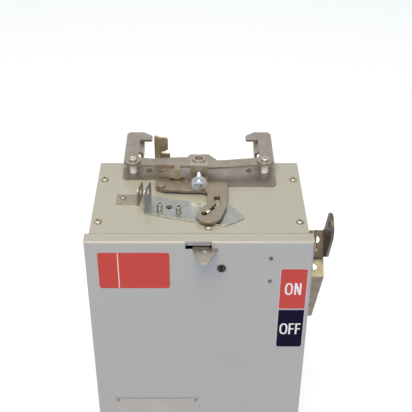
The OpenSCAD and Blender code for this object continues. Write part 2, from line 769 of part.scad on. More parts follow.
module rotor_hubs() color([0.18, 0.17, 0.17]) for (i = [0 : 2], s = [-1, 1]) {
    x0 = pole_x(i) + (s < 0 ? -blade_t / 2 - 8 : blade_t / 2);
    difference() {
        rod_x(x0, x0 + 8, 0, shaft_z, hub_r);
        rod_x(x0 - 1, x0 + 9, 0, shaft_z, shaft_r + 0.05);
    }
}

module switch_blades() color([0.82, 0.55, 0.38])
    for (i = [0 : 2]) translate([pole_x(i), 0, shaft_z]) difference() {
    union() {
        rod_x(-blade_t / 2, blade_t / 2, 0, 0, hub_r);
        box(-blade_t / 2, blade_t / 2, -blade_w / 2, blade_w / 2, -blade_reach, blade_reach);
    }
    rod_x(-5, 5, 0, 0, shaft_r + 0.05);
}

module switch_shaft() color([0.68, 0.68, 0.66]) {
    rod_x(bracket_x - 5, lever_x1 + 3, 0, shaft_z, shaft_r);
    rod_x(lever_x1, lever_x1 + 3, 0, shaft_z, shaft_r + 3);
}

// ---- Handle, outlines about the shaft in Y and Z ----

// Hole through a folded strip, part of the way from p to q
module padlock_hole(p, q, share, x, r) {
    along = unit(q - p);
    place = p + share * (q - p);
    a = atan2(along[1], along[0]);
    translate([x, place[0], place[1]]) rotate([a, 0, 0]) cylinder(r = r, h = 9, center = true);
}

module handle_lever() color([0.66, 0.61, 0.47]) translate([0, 0, shaft_z]) difference() {
    union() {
        sheet_x(lever_x0, lever_x1) {
            polygon([apex, slope_end, [-31, 58], [-22, 61], [-8, 48], [14, 8], [12, -10], [-4, -61], toe]);
            circle(hub_r + 4);
        }
        strip_x(lever_x0, grip_x1 - 1, slope_end, apex, handle_t);
        strip_x(lever_x0, grip_x1 - 1, apex, toe, handle_t);
        rod_x(hw + 1 + plate_clear, lever_x1, 0, 0, hub_r);
    }
    rod_x(hw - 5, lever_x1 + 5, 0, 0, shaft_r + 0.05);
    for (p = rivet_yz) rod_x(lever_x0 - 1, lever_x1 + 1, p[0], p[1], rivet_r + hole_clear);
    padlock_hole(apex, slope_end, 0.37, lever_x1 + padlock_r - 2.6, padlock_r - 0.5);
    padlock_hole(apex, toe, 0.7, lever_x1 + 0.9, padlock_r + 0.3);
}

module handle_grip() color([0.50, 0.45, 0.41]) translate([0, 0, shaft_z]) difference() {
    union() {
        strip_x(lever_x0, grip_x1, grip_high, grip_low, handle_t);
        sheet_x(lever_x1, lever_x1 + handle_t)
            polygon([grip_low + [3, 3.5], grip_high, [-24, 62], [-10, 47], [-15, 38], [-24, 41], [-33, 52]]);
        sheet_x(grip_x1 - handle_t, grip_x1) {
            polygon([
                grip_low, [-63.8, 60.7], eye + [-12.6, -5.2], eye + [10.8, 8.2], [-39.5, 75.8], grip_high]);
            translate(eye) circle(eye_r);
        }
    }
    rod_x(grip_x1 - 10, grip_x1 + 1, eye[0], eye[1], eye_hole_r);
    for (p = rivet_yz) rod_x(lever_x1 - 1, lever_x1 + handle_t + 1, p[0], p[1], rivet_r + hole_clear);
    padlock_hole(grip_low, grip_high, 0.65, lever_x1 + handle_t + padlock_r - 4, padlock_r);
}

module handle_rivets() color([0.60, 0.58, 0.54]) translate([0, 0, shaft_z]) for (p = rivet_yz) {
    rod_x(lever_x0 - 1, lever_x1 + handle_t + 1, p[0], p[1], rivet_r);
    rod_x(lever_x0 - 1, lever_x0, p[0], p[1], rivet_r + 1.7);
    rod_x(lever_x1 + handle_t, lever_x1 + handle_t + 1.6, p[0], p[1], rivet_r + 1.7);
}

// ---- Fuses and terminals ----

module fuse_base() color([0.30, 0.26, 0.22]) {
    wide = pole_pitch + 28;
    box(-wide, wide, fuse_base_y, fuse_base_y + fuse_base_t, fuse_z - 17, fuse_top + 23);
    for (sx = [-1, 1], z = [fuse_z - 7, fuse_top + 13])
        rod_y(sx * (wide - 12), z, fuse_base_y + 1, hd - sheet_t, 6);
}

// Spring clip round a fuse, open to the front, with its terminal tongue
module fuse_clip(i, z0, tongue_z0, tongue_z1) {
    x = pole_x(i);
    difference() {
        union() {
            rod_z(x, fuse_y, z0, z0 + clip_w, fuse_r + clip_clear + clip_t);
            box(x - 6, x + 6, fuse_y + fuse_r, fuse_base_y, z0, z0 + clip_w);
        }
        rod_z(x, fuse_y, z0 - 1, z0 + clip_w + 1, fuse_r + clip_clear);
        box(x - 20, x + 20, fuse_y - 30, fuse_y - 5, z0 - 1, z0 + clip_w + 1);
    }
    box(x - 6, x + 6, base_y, fuse_base_y, tongue_z0, tongue_z1);
}

module fuse_clips() color([0.80, 0.66, 0.42]) for (i = [0 : 2]) {
    fuse_clip(i, fuse_top - 18, fuse_top - 5, fuse_top + 16);
    fuse_clip(i, fuse_z + 4, fuse_z - 15, fuse_z + 5);
}

module fuses() color([0.55, 0.42, 0.30]) for (i = [0 : 2]) translate([pole_x(i), fuse_y, fuse_z]) {
    cylinder(r = fuse_r, h = 22);
    translate([0, 0, 21]) cylinder(r = fuse_r - 0.5, h = fuse_l - 42);
    translate([0, 0, fuse_l - 22]) cylinder(r = fuse_r, h = 22);
}

module load_lugs() color([0.72, 0.73, 0.72]) for (i = [0 : 2]) difference() {
    box(pole_x(i) - 9, pole_x(i) + 9, base_y - 18, base_y, lug_z, lug_z + lug_h);
    rod_z(pole_x(i), base_y - 10, lug_z - 1, lug_z + lug_h + 1, wire_r);
    rod_y(pole_x(i), lug_z + lug_h / 2, base_y - 19, base_y - 14, 4 + hole_clear);
}

function bar_hole_z(k) = bar_z[0] + 17 + k * 12;

module ground_bar() color([0.72, 0.73, 0.70]) difference() {
    union() {
        box(bar_x - 6, bar_x + 6, hd - 14, hd - 7, bar_z[0], bar_z[1]);
        for (z = [bar_z[0], bar_z[1] - 8]) box(bar_x - 6, bar_x + 6, hd - 8, hd - sheet_t, z, z + 8);
    }
    for (k = [0 : 3]) rod_y(bar_x, bar_hole_z(k), hd - 15, hd - 6, 2 + hole_clear);
}

module terminal_screws() color([0.45, 0.45, 0.46]) {
    for (k = [0 : 3]) translate([bar_x, hd - 14, bar_hole_z(k)]) rotate([90, 0, 0]) pan_screw(3.6, 2.2, 2, 6);
    for (i = [0 : 2]) difference() {
        rod_y(pole_x(i), lug_z + lug_h / 2, base_y - 20, base_y - 15.5, 4);
        box(pole_x(i) - 0.6, pole_x(i) + 0.6, base_y - 21, base_y - 18.5, lug_z, lug_z + lug_h);
    }
}

// ---- Hinges ----

module hinge_knuckles() color([0.70, 0.70, 0.66]) for (x = hinge_xs, s = [0, 1]) translate([x, 0, 0])
    mirror([s, 0, 0]) difference() {
        union() {
            rod_x(hinge_mid + 0.2, hinge_half, hinge_y, hinge_z, knuckle_r);
            box(hinge_mid + 0.2, hinge_half, -hd - leaf_t, -hd, hinge_z, sill_h - 0.5);
        }
        rod_x(0, hinge_half + 1, hinge_y, hinge_z, hinge_pin_r + 0.05);
    }

module hinge_pins() color([0.62, 0.62, 0.60]) for (x = hinge_xs)
    rod_x(x - hinge_half - 0.5, x + hinge_half + 0.5, hinge_y, hinge_z, hinge_pin_r);

module cover_hinge_leaves() color([0.70, 0.70, 0.66]) for (x = hinge_xs) difference() {
    union() {
        rod_x(x - hinge_mid, x + hinge_mid, hinge_y, hinge_z, knuckle_r);
        box(x - hinge_mid, x + hinge_mid, cover_in_y, cover_in_y + leaf_t, hinge_z, hinge_z + 18);
    }
    rod_x(x - 10, x + 10, hinge_y, hinge_z, hinge_pin_r + run_clear);
}

// ---- Cover ----

// Pan outline grown from the cover's outer size, with the folds rounded
module pan_block(inset, r) intersection() {
    front = cover_y + inset;
    back = lip_y + inset;
    side = cover_hw - inset;
    high = cover_top - inset;
    low = cover_foot - inset;
    translate([0, 0, low]) linear_extrude(high - low) {
        translate([-side, front + r]) square([2 * side, back - front - r]);
        translate([-side + r, front]) square([2 * (side - r), r + 1]);
        for (s = [-1, 1]) translate([s * (side - r), front + r]) circle(r);
    }
    sheet_x(-side, side) {
        translate([front, low]) square([back - front, high - low - r]);
        translate([front + r, high - r - 1]) square([back - front - r, r + 1]);
        translate([front + r, high - r]) circle(r);
    }
}

module front_cover() color([0.66, 0.66, 0.67]) difference() {
    pan_block(0, fold_r);
    pan_block(sheet_t, fold_r - sheet_t);
    box(notch_x - notch_w / 2, notch_x + notch_w / 2,
        cover_y - 1, cover_in_y + 0.1, top - notch_h, cover_top + 1);
    rod_y(lock_x, lock_z, cover_y - 1, cover_in_y + 1, lock_shank_r + 0.2);
    for (d = rivet_drops) rod_y(rivet_x, top - d, cover_y - 1, cover_in_y + 1, 1.2 + hole_clear);
    plate_rivet_places() rod_y(0, 0, cover_y - 1, cover_in_y + 1, 1 + hole_clear);
}

module cover_angle() color([0.66, 0.66, 0.64]) difference() {
    union() {
        box(rivet_x - 7, rivet_x + 7, cover_in_y, cover_in_y + leaf_t,
            top - rivet_drops[1] - 8, top - rivet_drops[0] + 5);
        box(rivet_x - 7, rivet_x - 7 + leaf_t, cover_in_y, cover_in_y + 22,
            top - rivet_drops[1] - 5, top - rivet_drops[1] + 13);
    }
    for (d = rivet_drops) rod_y(rivet_x, top - d, cover_in_y - 1, cover_in_y + 3, 1.2 + hole_clear);
}

module cover_rivets() color([0.35, 0.34, 0.34]) {
    for (d = rivet_drops) {
        rod_y(rivet_x, top - d, cover_y - 0.8, cover_y, 1.8);
        rod_y(rivet_x, top - d, cover_y - 0.1, cover_in_y + leaf_t, 1.2);
    }
    plate_rivet_places() {
        rod_y(0, 0, cover_y - plate_t - 0.7, cover_y - plate_t, 1.7);
        rod_y(0, 0, cover_y - plate_t - 0.1, cover_in_y, 1);
    }
}

module plate_rivet_places() {
    for (x = [plate_x + 3.7, plate_x + plate_w - 3.7])
        for (z = [top - plate_drop - 3.2, top - plate_drop - plate_h + 3.2]) translate([x, 0, z]) children();
}

module catch_guide() color([0.62, 0.62, 0.64]) {
    low = catch_z - slide_clear;
    box(-5, 20, cover_in_y, cover_in_y + 16, low - sheet_t, low);
    box(-5, 20, cover_in_y, cover_in_y + leaf_t, low - 7, low);
}

module nameplate() color([0.75, 0.73, 0.72]) difference() {
    box(plate_x, plate_x + plate_w, cover_y - plate_t, cover_y, top - plate_drop - plate_h, top - plate_drop);
    plate_rivet_places() rod_y(0, 0, cover_y - 2, cover_y + 1, 1 + hole_clear);
}

// Flat label on the cover's face by its lower left corner and size, with corners of radius r
// at the bottom and at the top
module label(x, z, w, h, low_r, high_r) sheet_y(cover_y - label_t, cover_y) translate([x, z]) {
    translate([0, low_r]) square([w, h - low_r - high_r]);
    if (low_r > 0) {
        translate([low_r, 0]) square([w - 2 * low_r, low_r + 0.1]);
        for (dx = [low_r, w - low_r]) translate([dx, low_r]) circle(low_r);
    }
    if (high_r > 0) {
        translate([high_r, h - high_r - 0.1]) square([w - 2 * high_r, high_r + 0.1]);
        for (dx = [high_r, w - high_r]) translate([dx, h - high_r]) circle(high_r);
    }
}

module hazard_label() color([0.78, 0.29, 0.27])
    label(12.3 - cover_hw, top - hazard_drop, hazard_w, hazard_h, label_r, label_r);

module on_label() color([0.80, 0.29, 0.25])
    label(switch_label_x, top - on_drop, switch_label_w, on_h, 0, label_r);

module off_label() color([0.08, 0.02, 0.16])
    label(switch_label_x, top - off_drop, switch_label_w, off_h, label_r, 0);

module cover_catch() color([0.70, 0.70, 0.66]) translate([0, 0, catch_z]) difference() {
    linear_extrude(catch_t) {
        front = cover_y - move_clear;
        tip = [catch_x + 10.4, cover_y - catch_reach + tip_r];
        right = [catch_x + catch_w, front - 1.5];
        left = [catch_x, front - 1.5];
        polygon([[catch_x, front], left, tangent(left, tip, tip_r, 1), tip,
            tangent(right, tip, tip_r, -1), right, [catch_x + catch_w, front],
            [catch_x + neck_w, front], [catch_x + neck_w, front + catch_in],
            [catch_x, front + catch_in]]);
        translate(tip) circle(tip_r);
    }
    rod_z(catch_x + 11.2, cover_y - 6.6, -1, catch_t + 1, 2.8);
}

module cover_screw() color([0.16, 0.16, 0.18]) translate([lock_x, 0, lock_z]) difference() {
    union() {
        rod_y(0, 0, cover_y - 1, cover_y, lock_head_r);
        translate([0, cover_y - 1, 0]) rotate([90, 0, 0])
            cylinder(r1 = lock_head_r, r2 = lock_head_r - 1.2, h = 0.9);
        rod_y(0, 0, cover_y - 0.1, lip_y - 1, lock_shank_r);
        rod_y(0, 0, cover_in_y, cover_in_y + 1, lock_shank_r + 2);
    }
    box(-0.8, 0.8, cover_y - 3, cover_y - 0.8, -6, 6);
}

enclosure_back();
left_wall();
right_wall();
enclosure_bottom();
front_rail();
top_plate();
top_screws();
clamp_base_plate();
mechanism_screws();
jaw_spacers();
jaw_washers();
jaw_pivot_screws();
screw_fork();
interlock_plate();
interlock_posts();
interlock_guide_pin();
interlock_pivot_pin();
seal_bracket();
ground_stab();
shaft_bushing();
shaft_bracket();
switch_base();
contact_jaws();
line_straps();
load_straps();
stab_insulator();
phase_stabs();
phase_barriers();
line_shield();
fuse_base();
fuse_clips();
fuses();
load_lugs();
ground_bar();
terminal_screws();
hinge_knuckles();
hinge_pins();
front_cover();
cover_hinge_leaves();
cover_angle();
cover_rivets();
catch_guide();
nameplate();
hazard_label();
on_label();
off_label();
cover_catch();
cover_screw();
handle_lever();
handle_grip();
handle_rivets();
switch_shaft();
rotor_hubs();
switch_blades();
left_jaw();
right_jaw();
draw_bracket();
clamp_washer();
clamp_screw();
interlock_lever();
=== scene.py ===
import json
from math import cos, hypot, pi, radians, sin

import bmesh
import bpy
from mathutils import Matrix, Vector


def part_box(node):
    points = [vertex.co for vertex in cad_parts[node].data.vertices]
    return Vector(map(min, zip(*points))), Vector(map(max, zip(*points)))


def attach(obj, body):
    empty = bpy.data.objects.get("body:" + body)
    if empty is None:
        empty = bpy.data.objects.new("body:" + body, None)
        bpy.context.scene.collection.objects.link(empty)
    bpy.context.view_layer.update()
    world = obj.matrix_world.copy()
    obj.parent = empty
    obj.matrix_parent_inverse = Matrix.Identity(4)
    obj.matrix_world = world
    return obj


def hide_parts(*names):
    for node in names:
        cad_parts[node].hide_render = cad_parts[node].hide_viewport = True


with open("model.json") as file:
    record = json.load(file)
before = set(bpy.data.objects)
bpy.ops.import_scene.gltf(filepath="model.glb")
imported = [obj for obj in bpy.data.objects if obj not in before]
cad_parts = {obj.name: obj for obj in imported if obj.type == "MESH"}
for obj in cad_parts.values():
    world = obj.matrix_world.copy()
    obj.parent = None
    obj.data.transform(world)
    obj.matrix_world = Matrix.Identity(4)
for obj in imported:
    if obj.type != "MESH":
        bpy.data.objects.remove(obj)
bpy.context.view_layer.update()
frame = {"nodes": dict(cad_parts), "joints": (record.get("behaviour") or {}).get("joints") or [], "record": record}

# ---- Enclosure ----
# A box of 1.5 mm sheet steel, cut, folded and spot welded, with a separate top plate.
# It is powder coated light grey: the coat flows round the folds and sets with a fine orange peel.

mm_per_m = 1000
record = frame["record"]
body_of = {node: body for body, nodes in record["behaviour"]["bodies"].items() for node in nodes}
slot_of = {part["node"]: part["material_slot"] for part in record["subparts"]}
fold_angle = radians(32)  # a sharper edge is a fold or a cut edge
flat_angle = radians(0.5)  # faces closer than this in direction are one flat face
weld_gap = 1e-6


def linear(code):
    """An sRGB hex colour as linear light."""
    shares = [int(code[i : i + 2], 16) / 255 for i in (1, 3, 5)]
    return [s / 12.92 if s <= 0.04045 else ((s + 0.055) / 1.055) ** 2.4 for s in shares] + [1.0]


def add(tree, kind, inputs={}, **settings):
    """One shader node with its settings, and with each input linked to a socket or set to a value."""
    node = tree.nodes.new("ShaderNode" + kind)
    for name, value in settings.items():
        setattr(node, name, value)
    for name, value in inputs.items():
        if isinstance(value, bpy.types.NodeSocket):
            tree.links.new(value, node.inputs[name])
        else:
            node.inputs[name].default_value = value
    return node


def blank_material(name):
    """An empty material, its node tree and the object's own coordinates in metres."""
    material = bpy.data.materials.new(name)
    material.use_nodes = True
    material.node_tree.nodes.clear()
    return material, material.node_tree, add(material.node_tree, "TexCoord").outputs["Object"]


def powder_coat(name, light, dark, drift_mm=70, peel_mm=2):
    """Polyester powder coat: slow drifts of tone and a soft sheen over a faint orange peel."""
    material, tree, place = blank_material(name)
    drift = add(tree, "TexNoise", {"Vector": place, "Scale": mm_per_m / drift_mm, "Detail": 2.0})
    # A colour mix takes its share in input 0 and its two colours in inputs 6 and 7.
    tint = add(tree, "Mix", {0: drift.outputs[0], 6: linear(light), 7: linear(dark)}, data_type="RGBA")
    peel = add(tree, "TexNoise", {"Vector": place, "Scale": mm_per_m / peel_mm, "Detail": 1.0})
    skin = add(tree, "Bump", {"Height": peel.outputs[0], "Strength": 0.35, "Distance": 0.00006})
    coat = add(tree, "BsdfPrincipled", {
        "Base Color": tint.outputs[2], "Roughness": 0.28, "IOR": 1.6, "Normal": skin.outputs[0]})
    add(tree, "OutputMaterial", {"Surface": coat.outputs[0]})
    return material


def stand(name, data):
    """A new object in the scene."""
    made = bpy.data.objects.new(name, data)
    bpy.context.scene.collection.objects.link(made)
    return made


def show(name, mesh, finish, body, slot, *stands_for):
    """A finished piece on its body, in the place of its CAD nodes."""
    mesh.materials.clear()
    mesh.materials.append(finish)
    piece = stand(name, mesh)
    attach(piece, body)
    if stands_for:
        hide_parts(*stands_for)
    return piece


def mesh_of(work, name):
    """What has been built in bmesh, as a mesh."""
    mesh = bpy.data.meshes.new(name)
    work.to_mesh(mesh)
    work.free()
    return mesh


def shade(mesh):
    """Smooth shading that breaks at folds and cut edges."""
    mesh.polygons.foreach_set("use_smooth", [True] * len(mesh.polygons))
    mesh.set_sharp_from_angle(angle=fold_angle)
    return mesh


def clean_copy(node):
    """The CAD node's mesh with its flat faces whole again."""
    work = bmesh.new()
    work.from_mesh(frame["nodes"][node].data)
    bmesh.ops.remove_doubles(work, verts=work.verts, dist=weld_gap)
    bmesh.ops.dissolve_limit(work, angle_limit=flat_angle, verts=work.verts, edges=work.edges)
    return shade(mesh_of(work, node))


def dress(node, finish, edge=0.3, edge_highlight=None):
    """The CAD node in its own finish, its edges rounded to that many millimetres.

    A second finish, where there is one, covers the rounded edges alone as a painted highlight.
    """
    piece = show(node + "_made", clean_copy(node), finish, body_of[node], slot_of[node], node)
    rounding = piece.modifiers.new("rounded_edges", "BEVEL")
    if edge_highlight:
        piece.data.materials.append(edge_highlight)
        rounding.material = len(piece.data.materials) - 1
    rounding.width = edge / mm_per_m
    rounding.segments = 2
    rounding.limit_method = "ANGLE"
    rounding.angle_limit = fold_angle
    rounding.harden_normals = True
    return piece


# Powder coat gives an even light grey with broad, soft highlights that the peel breaks up.
grey_coat = powder_coat("light_grey_powder_coat", "#B9B8B6", "#B3B2B0")
for node in ("enclosure_back", "left_wall", "right_wall", "enclosure_bottom", "front_rail", "top_plate"):
    dress(node, grey_coat, edge=0.4)

# ---- Screws ----
# Pan head machine screws with a cross recess, cold headed from steel wire and zinc plated.
# The plating is bright on the crowns, and the recess is darkened as painted shade.


def metal(name, light, dark, patch, roughness, spread=0.08, scratch=0.0):
    """A bare or plated metal, mottled in patches that many millimetres across.

    Its gloss wanders by spread with the mottling, and scratch is how far its rolling marks show.
    The real marks are a tenth of a millimetre apart, and are drawn coarser so that they show.
    """
    mark_length_mm, mark_slimness = 9, 14.0
    material, tree, place = blank_material(name)
    mottle = add(tree, "TexNoise", {
        "Vector": place, "Scale": mm_per_m / patch, "Detail": 4.0, "Roughness": 0.6})
    even = add(tree, "MapRange", {"Value": mottle.outputs[0], "From Min": 0.35, "From Max": 0.65})
    tint = add(tree, "Mix", {0: even.outputs[0], 6: linear(dark), 7: linear(light)}, data_type="RGBA")
    polish = add(tree, "MapRange", {
        "Value": mottle.outputs[0], "From Min": 0.3, "From Max": 0.7,
        "To Min": roughness + spread, "To Max": roughness - spread})
    inputs = {"Base Color": tint.outputs[2], "Metallic": 1.0, "Roughness": polish.outputs[0]}
    if scratch:
        slim = add(tree, "Mapping", {"Vector": place, "Scale": (1.0, mark_slimness, mark_slimness)})
        marks = add(tree, "TexNoise", {
            "Vector": slim.outputs[0], "Scale": mm_per_m / mark_length_mm, "Detail": 3.0})
        lines = add(tree, "Bump", {"Height": marks.outputs[0], "Strength": scratch, "Distance": 0.0001})
        inputs["Normal"] = lines.outputs[0]
    surface = add(tree, "BsdfPrincipled", inputs)
    add(tree, "OutputMaterial", {"Surface": surface.outputs[0]})
    return material


def spun(profile, turns=32):
    """A solid of revolution about Z through (radius, height) points from the foot up."""
    around = [(cos(2 * pi * k / turns), sin(2 * pi * k / turns)) for k in range(turns)]
    work = bmesh.new()
    rings = []
    for radius, height in profile:
        spots = around if radius else [(0.0, 0.0)]
        rings.append([work.verts.new((radius * x, radius * y, height)) for x, y in spots])
    for low, high in zip(rings, rings[1:]):
        for k in range(turns):
            after = (k + 1) % turns
            corners = [low[k % len(low)], low[after % len(low)],
                       high[after % len(high)], high[k % len(high)]]
            work.faces.new(list(dict.fromkeys(corners)))
    return mesh_of(work, "spun")


def cut_cross(mesh, length, width, floor, ceiling):
    """The mesh with a cross recess let into its top, its walls leaning in towards the floor."""
    floor_length, floor_width = 0.45, 0.8
    body = stand("head", mesh)
    tools = []
    for turn in (0, pi / 2):
        work = bmesh.new()
        bmesh.ops.create_cube(work, size=1.0)
        for v in work.verts:
            if v.co.z > 0:
                v.co = (v.co.x * length, v.co.y * width, ceiling)
            else:
                v.co = (v.co.x * length * floor_length, v.co.y * width * floor_width, floor)
        bmesh.ops.rotate(work, verts=work.verts, cent=(0, 0, 0), matrix=Matrix.Rotation(turn, 3, "Z"))
        tool = stand("blade", mesh_of(work, "blade"))
        cut = body.modifiers.new("recess", "BOOLEAN")
        cut.operation, cut.object, cut.solver = "DIFFERENCE", tool, "EXACT"
        tools.append(tool)
    made = bpy.data.meshes.new_from_object(body.evaluated_get(bpy.context.evaluated_depsgraph_get()))
    for used in tools + [body]:
        bpy.data.objects.remove(used)
    return made


# A head of radius 1 and height 1. The faces of its recess lie within these limits.
crown = [(0.0, 0.0), (0.97, 0.0), (1.0, 0.06), (1.0, 0.34), (0.95, 0.52),
         (0.84, 0.70), (0.66, 0.86), (0.40, 0.97), (0.0, 1.0)]
recess_reach, recess_low, recess_high = 0.6, 0.1, 0.84
pan_head = cut_cross(spun(crown), length=1.06, width=0.27, floor=0.25, ceiling=1.2)
# Painted shade: the faces of the recess take the second, near black finish.
for face in pan_head.polygons:
    across = hypot(face.center.x, face.center.y)
    if across < recess_reach and recess_low < face.center.z < recess_high:
        face.material_index = 1

# Painted shade: a near black with no shine, so that the cross reads as a recess.
recess_shade = metal("painted_shade_in_recess", "#3C3833", "#24211F", patch=1, roughness=0.7)


def islands(node):
    """Each separate solid of a CAD node as its lowest and highest corner, from the lowest X up."""
    work = bmesh.new()
    work.from_mesh(frame["nodes"][node].data)
    bmesh.ops.remove_doubles(work, verts=work.verts, dist=weld_gap)
    left, found = set(work.verts), []
    while left:
        reach = [left.pop()]
        for v in reach:
            near = {e.other_vert(v) for e in v.link_edges} & left
            left -= near
            reach.extend(near)
        found.append([Vector(pick(v.co[i] for v in reach) for i in range(3)) for pick in (min, max)])
    work.free()
    return sorted(found, key=lambda corners: tuple(corners[0]))


def screw_set(node, finish, head, shank, foot=-1.0):
    """Domed screws in the place of a node's plain ones.

    Head is the height of the heads and shank the radius of the shanks, in millimetres. Solids
    that end below the height foot are nuts, and stay as they are.
    """
    stem = [(0.0, 0.0), (0.9, 0.0), (1.0, 0.04), (1.0, 1.0), (0.0, 1.0)]
    overlap = 0.0002
    turn_along_x, turn_along_y = 40, 25  # radians a metre, so that no two recesses line up
    head, shank = head / mm_per_m, shank / mm_per_m
    work = bmesh.new()
    for low, high in islands(node):
        if high.z < foot:
            continue
        radius = (high.x - low.x) / 2
        seat = high.z - head
        centre = (low + high) / 2
        turn = Matrix.Rotation(centre.x * turn_along_x + centre.y * turn_along_y, 4, "Z")
        on_seat = Matrix.Translation((centre.x, centre.y, seat)) @ turn
        on_foot = Matrix.Translation((centre.x, centre.y, low.z))
        for mesh, place, size in ((pan_head, on_seat, (radius, radius, head)),
                                  (spun(stem), on_foot, (shank, shank, seat + overlap - low.z))):
            before = len(work.verts)
            work.from_mesh(mesh)
            work.verts.ensure_lookup_table()
            added = work.verts[before:]
            bmesh.ops.transform(work, matrix=place @ Matrix.Diagonal((*size, 1.0)), verts=added)
    if foot > 0:
        nuts = bmesh.new()
        nuts.from_mesh(clean_copy(node))
        bmesh.ops.delete(nuts, geom=[v for v in nuts.verts if v.co.z > foot], context="VERTS")
        work.from_mesh(mesh_of(nuts, "nuts"))
    mesh = shade(mesh_of(work, node))
    show(node + "_made", mesh, finish, body_of[node], slot_of[node], node)
    # The recess faces, slot 1, take the painted shade.
    mesh.materials.append(recess_shade)


# Bright zinc gives quick small highlights, greyer where fingers have dulled it.
bright_zinc = metal("bright_zinc_plate", "#D2CFC4", "#8E8A80", patch=3, roughness=0.24)

# Black oxide gives an oily near black that still glints like steel along an edge.
black_oxide = metal("black_oxide_steel", "#4A4A4C", "#343435", patch=3, roughness=0.45)

# Stained zinc gives small yellowish blotches and a softer glint.
stained_zinc = metal("stained_zinc_plate", "#C6C0AF", "#817A6B", patch=2, roughness=0.3)
screw_set("top_screws", stained_zinc, head=2.6, shank=2)

# ---- Clamp base ----
# A strip of rolled steel screwed to the top plate, with a nylon spacer under each jaw.
# The strip has a dull grey plating with faint rolling marks; the nylon is milky white.

# Plating over a rolled strip gives a pinkish grey in long drifts, streaked along the rolling.
rolled_zinc = metal("rolled_zinc_plate", "#A49A93", "#948982",
                    patch=22, roughness=0.42, spread=0.05, scratch=0.12)

# Dull zinc gives a warm matt grey with no glint, clouded a little from one end to the other.
dull_zinc = metal("dull_zinc_plate", "#A59D94", "#978F86",
                  patch=12, roughness=0.42, spread=0.05, scratch=0.1)
dress("clamp_base_plate", rolled_zinc, edge=0.3)
screw_set("mechanism_screws", dull_zinc, head=1.6, shank=1.5)


def moulded(name, light, dark, grain, roughness, bump=0.2):
    """A moulded or pressed plastic, with its colour flecked at that many millimetres."""
    material, tree, place = blank_material(name)
    fleck = add(tree, "TexNoise", {"Vector": place, "Scale": mm_per_m / grain, "Detail": 3.0})
    tint = add(tree, "Mix", {0: fleck.outputs[0], 6: linear(dark), 7: linear(light)}, data_type="RGBA")
    skin = add(tree, "Bump", {"Height": fleck.outputs[0], "Strength": bump, "Distance": 0.00008})
    surface = add(tree, "BsdfPrincipled", {
        "Base Color": tint.outputs[2], "Roughness": roughness, "Normal": skin.outputs[0]})
    add(tree, "OutputMaterial", {"Surface": surface.outputs[0]})
    return material


# Natural nylon gives a milky white with hardly a highlight.
nylon = moulded("natural_nylon", "#FFFDF6", "#FBF8F1", grain=2, roughness=0.6, bump=0.1)
dress("jaw_spacers", nylon, edge=0.4)
# The washers' rounded edges are bright zinc as a painted highlight.
dress("jaw_washers", dull_zinc, edge=0.25, edge_highlight=bright_zinc)
screw_set("jaw_pivot_screws", bright_zinc, head=2.8, shank=3, foot=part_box("top_plate")[0].z)

# ---- Jaws ----
# Two hook plates cut from 2.5 mm steel, each with a bearing flange folded down along its throat.
# They cross in the middle, where a pin on the draw bracket pulls both of them together.

for node in ("left_jaw", "right_jaw"):
    dress(node, dull_zinc, edge=0.35)

# Fresh zinc gives a paler and flatter grey than the jaws have.
fork_zinc = metal("pale_zinc_plate", "#C2BCB6", "#AFA8A2",
                  patch=10, roughness=0.5, spread=0.05, scratch=0.12)
bracket = dress("draw_bracket", fork_zinc, edge=0.3).data

# The small floor of the pin's bore is a darker, duller brown.
bracket.materials.append(metal("brown_bore_floor", "#9C8878", "#8A7769", patch=4, roughness=0.5))
pin_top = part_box("draw_bracket")[1].z
level, bore_area, bore_shallow, bore_deep = 0.9, 8e-5, 0.001, 0.0025
for face in bracket.polygons:
    depth = pin_top - face.center.z
    if face.normal.z > level and face.area < bore_area and bore_shallow < depth < bore_deep:
        face.material_index = 1
dress("screw_fork", fork_zinc, edge=0.3)

# Blue white zinc gives a cool, bright metal with a tight highlight.
blue_zinc = metal("blue_white_zinc_plate", "#D3D8DE", "#AEB4BC", patch=5, roughness=0.22, spread=0.05)
dress("clamp_washer", blue_zinc, edge=0.25)

# ---- Clamp screw ----
# A captive pan head screw, sloping down to the rear through the fork, its nut in the draw bracket.
# It is the brightest piece of the clamp, with a wide plated washer under its head.

head_r, head_h, shank_r, point = 0.0043, 0.0028, 0.0025, 0.0005
pitch, thread_depth, crest, thread_share = 0.0008, 0.0003, 0.0002, 0.55
turn_joint = next(j for j in frame["joints"] if j["name"] == "clamp_screw_turn")
along = Vector(turn_joint["axis"]).normalized()
seat = Vector(turn_joint["pos_m"])
tail = max((v.co - seat).dot(along) for v in frame["nodes"]["clamp_screw"].data.vertices)
out = (-along).to_track_quat("Z", "Y").to_matrix().to_4x4()
work = bmesh.new()
work.from_mesh(pan_head)
bmesh.ops.scale(work, verts=work.verts, vec=(head_r, head_r, head_h))
rod = [(0.0, -tail), (shank_r - point, -tail), (shank_r, point - tail)]
for k in range(int(tail * thread_share / pitch)):
    rod += [(shank_r, point - tail + k * pitch + crest),
            (shank_r - thread_depth, point - tail + (k + 0.5) * pitch)]
rod += [(shank_r, rod[-1][1] + pitch), (shank_r, 0.0), (0.0, 0.0)]
work.from_mesh(spun(rod))
bmesh.ops.transform(work, matrix=Matrix.Translation(seat) @ out, verts=work.verts)
mesh = shade(mesh_of(work, "clamp_screw"))
show("clamp_screw_made", mesh, blue_zinc, "clamp_screw", "bright_screw", "clamp_screw")
# The recess in the head takes the painted shade.
mesh.materials.append(recess_shade)

# ---- Interlock ----
# A galvanised plate on the enclosure top, a hooked lever that swings over it and two small tabs.
# All are stamped from sheet; the lever has a warm, slightly yellow passivation on its zinc.


